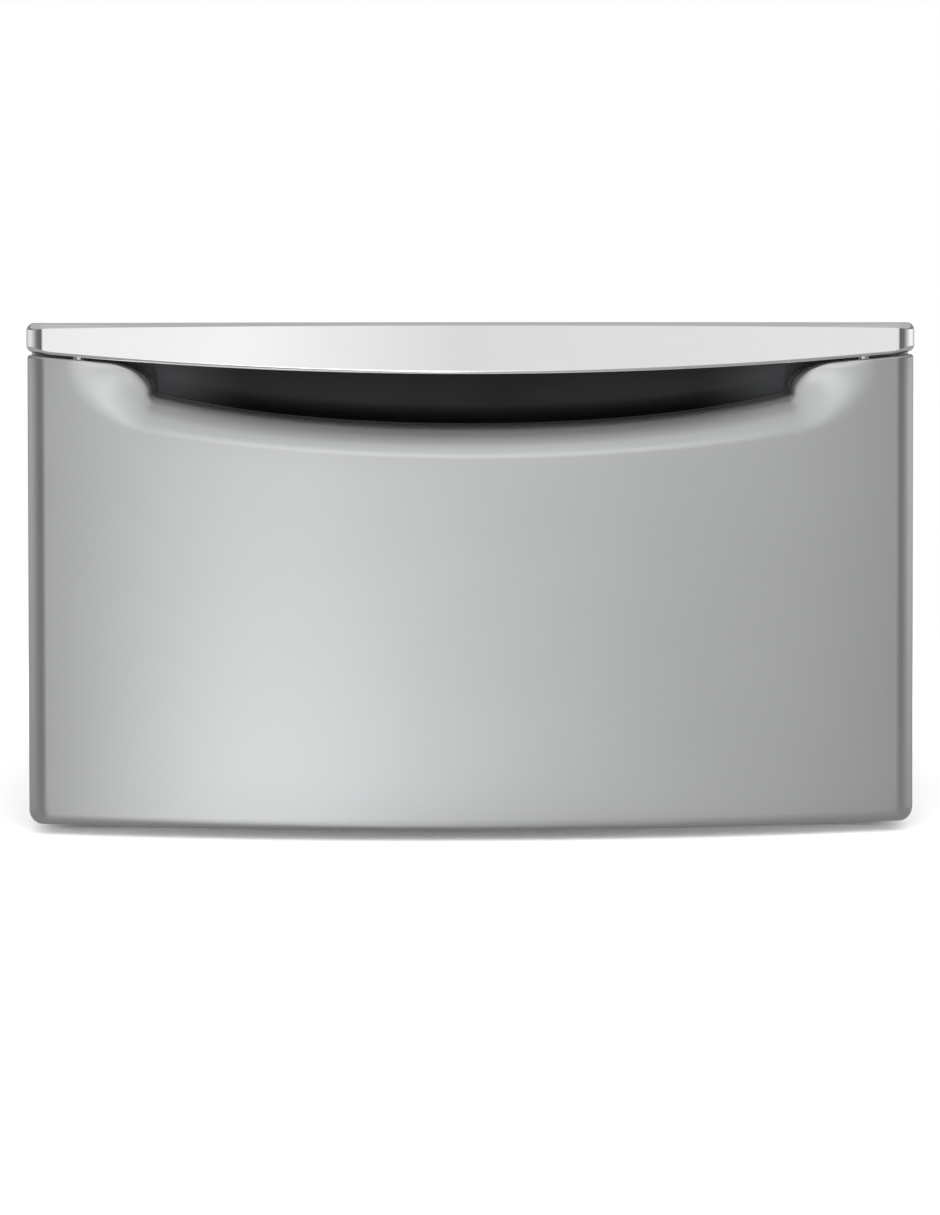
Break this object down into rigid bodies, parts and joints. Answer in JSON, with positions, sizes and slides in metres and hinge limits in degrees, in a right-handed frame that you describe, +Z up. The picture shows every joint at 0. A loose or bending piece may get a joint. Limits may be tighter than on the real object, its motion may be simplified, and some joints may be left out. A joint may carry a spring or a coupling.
{
  "type": "washer pedestal drawer",
  "caption": "Laundry pedestal: steel cabinet on levelling feet with one wide drawer, a bowed front, a bright handle cap and a finger scoop.",
  "frame": {"origin": "on the floor under the centre of the part's bounding box", "axes": "+Z up, the drawer front faces -Y, +X to the right as seen from the front"},
  "size_m": [0.6858, 0.673, 0.3937],
  "materials": {
    "front_paint": "metallic slate paint over a moulded shell, satin gloss",
    "bright_cap": "bright silver metallic finish over a moulded cap",
    "pocket_plastic": "black moulded plastic, fine grain",
    "cabinet_paint": "slate powder coat on sheet steel",
    "galvanised": "galvanised sheet steel",
    "slide_steel": "bright zinc-plated rolled steel",
    "cage_steel": "thin plated strip with steel balls",
    "black_plastic": "black moulded plastic",
    "drawer_paint": "light grey paint on sheet steel",
    "divider_plastic": "dark grey moulded plastic",
    "rubber": "black rubber",
    "foot_steel": "zinc-plated steel",
    "screw_steel": "zinc-plated steel"
  },
  "bodies": {
    "cabinet": {"side_panel_left": "cabinet_paint", "side_panel_right": "cabinet_paint", "back_panel": "galvanised", "top_deck": "cabinet_paint", "front_top_rail": "galvanised", "base_rail_front": "galvanised", "base_rail_rear": "galvanised", "corner_post_front_left": "galvanised", "corner_post_front_right": "galvanised", "corner_post_rear_left": "galvanised", "corner_post_rear_right": "galvanised", "foot_plate_front_left": "galvanised", "foot_plate_front_right": "galvanised", "foot_plate_rear_left": "galvanised", "foot_plate_rear_right": "galvanised", "slide_bracket_left": "galvanised", "slide_bracket_right": "galvanised", "slide_outer_left": "slide_steel", "slide_outer_right": "slide_steel", "slide_detent_left": "black_plastic", "slide_detent_right": "black_plastic", "front_bumpers": "rubber", "deck_screws": "screw_steel", "back_screws": "screw_steel", "slide_rivets": "screw_steel"},
    "drawer": {"slide_inner_left": "slide_steel", "slide_inner_right": "slide_steel", "drawer_side_left": "drawer_paint", "drawer_side_right": "drawer_paint", "drawer_back": "drawer_paint", "drawer_floor": "drawer_paint", "inner_front_panel": "galvanised", "front_panel": "front_paint", "handle_cap": "bright_cap", "finger_pocket": "pocket_plastic", "front_screws": "screw_steel", "drawer_slide_screws": "screw_steel"},
    "divider": {"divider": "divider_plastic"},
    "slide_middle_left": {"slide_middle_left": "slide_steel"},
    "outer_cage_left": {"ball_cage_outer_left": "cage_steel"},
    "inner_cage_left": {"ball_cage_inner_left": "cage_steel"},
    "release_lever_left": {"release_lever_left": "black_plastic"},
    "slide_middle_right": {"slide_middle_right": "slide_steel"},
    "outer_cage_right": {"ball_cage_outer_right": "cage_steel"},
    "inner_cage_right": {"ball_cage_inner_right": "cage_steel"},
    "release_lever_right": {"release_lever_right": "black_plastic"},
    "foot_front_left": {"foot_front_left": "foot_steel", "foot_pad_front_left": "rubber"},
    "lock_nut_front_left": {"lock_nut_front_left": "screw_steel"},
    "foot_front_right": {"foot_front_right": "foot_steel", "foot_pad_front_right": "rubber"},
    "lock_nut_front_right": {"lock_nut_front_right": "screw_steel"},
    "foot_rear_left": {"foot_rear_left": "foot_steel", "foot_pad_rear_left": "rubber"},
    "lock_nut_rear_left": {"lock_nut_rear_left": "screw_steel"},
    "foot_rear_right": {"foot_rear_right": "foot_steel", "foot_pad_rear_right": "rubber"},
    "lock_nut_rear_right": {"lock_nut_rear_right": "screw_steel"}
  },
  "joints": [
    {"name": "drawer_slide", "type": "slide", "parent": "cabinet", "child": "drawer", "axis": [0, -1, 0], "range_m": [0, 0.45]},
    {"name": "middle_slide_left", "type": "slide", "parent": "cabinet", "child": "slide_middle_left", "axis": [0, -1, 0], "range_m": [0, 0.225]},
    {"name": "outer_cage_slide_left", "type": "slide", "parent": "cabinet", "child": "outer_cage_left", "axis": [0, -1, 0], "range_m": [0, 0.1125]},
    {"name": "inner_cage_slide_left", "type": "slide", "parent": "cabinet", "child": "inner_cage_left", "axis": [0, -1, 0], "range_m": [0, 0.3375]},
    {"name": "middle_slide_right", "type": "slide", "parent": "cabinet", "child": "slide_middle_right", "axis": [0, -1, 0], "range_m": [0, 0.225]},
    {"name": "outer_cage_slide_right", "type": "slide", "parent": "cabinet", "child": "outer_cage_right", "axis": [0, -1, 0], "range_m": [0, 0.1125]},
    {"name": "inner_cage_slide_right", "type": "slide", "parent": "cabinet", "child": "inner_cage_right", "axis": [0, -1, 0], "range_m": [0, 0.3375]},
    {"name": "release_lever_left", "type": "hinge", "parent": "drawer", "child": "release_lever_left", "pos_m": [-0.3062, -0.0345, 0.176], "axis": [1, 0, 0], "range_deg": [-8, 0], "stiffness_Nm_per_rad": 0.05},
    {"name": "release_lever_right", "type": "hinge", "parent": "drawer", "child": "release_lever_right", "pos_m": [0.3062, -0.0345, 0.176], "axis": [1, 0, 0], "range_deg": [0, 8], "stiffness_Nm_per_rad": 0.05},
    {"name": "divider_slide", "type": "slide", "parent": "drawer", "child": "divider", "axis": [0, 1, 0], "range_m": [-0.14, 0.14]},
    {"name": "foot_front_left_height", "type": "slide", "parent": "cabinet", "child": "foot_front_left", "axis": [0, 0, -1], "range_m": [0, 0.02]},
    {"name": "lock_nut_front_left_turn", "type": "hinge", "parent": "cabinet", "child": "lock_nut_front_left", "pos_m": [-0.312, -0.2135, 0.0193], "axis": [0, 0, 1], "range_deg": [0, 90]},
    {"name": "foot_front_right_height", "type": "slide", "parent": "cabinet", "child": "foot_front_right", "axis": [0, 0, -1], "range_m": [0, 0.02]},
    {"name": "lock_nut_front_right_turn", "type": "hinge", "parent": "cabinet", "child": "lock_nut_front_right", "pos_m": [0.312, -0.2135, 0.0193], "axis": [0, 0, 1], "range_deg": [0, 90]},
    {"name": "foot_rear_left_height", "type": "slide", "parent": "cabinet", "child": "foot_rear_left", "axis": [0, 0, -1], "range_m": [0, 0.02]},
    {"name": "lock_nut_rear_left_turn", "type": "hinge", "parent": "cabinet", "child": "lock_nut_rear_left", "pos_m": [-0.312, 0.2949, 0.0193], "axis": [0, 0, 1], "range_deg": [0, 90]},
    {"name": "foot_rear_right_height", "type": "slide", "parent": "cabinet", "child": "foot_rear_right", "axis": [0, 0, -1], "range_m": [0, 0.02]},
    {"name": "lock_nut_rear_right_turn", "type": "hinge", "parent": "cabinet", "child": "lock_nut_rear_right", "pos_m": [0.312, 0.2949, 0.0193], "axis": [0, 0, 1], "range_deg": [0, 90]}
  ],
  "couplings": [
    {"joint": "middle_slide_left", "follows": "drawer_slide", "ratio": 0.5},
    {"joint": "outer_cage_slide_left", "follows": "drawer_slide", "ratio": 0.25},
    {"joint": "inner_cage_slide_left", "follows": "drawer_slide", "ratio": 0.75},
    {"joint": "middle_slide_right", "follows": "drawer_slide", "ratio": 0.5},
    {"joint": "outer_cage_slide_right", "follows": "drawer_slide", "ratio": 0.25},
    {"joint": "inner_cage_slide_right", "follows": "drawer_slide", "ratio": 0.75}
  ]
}
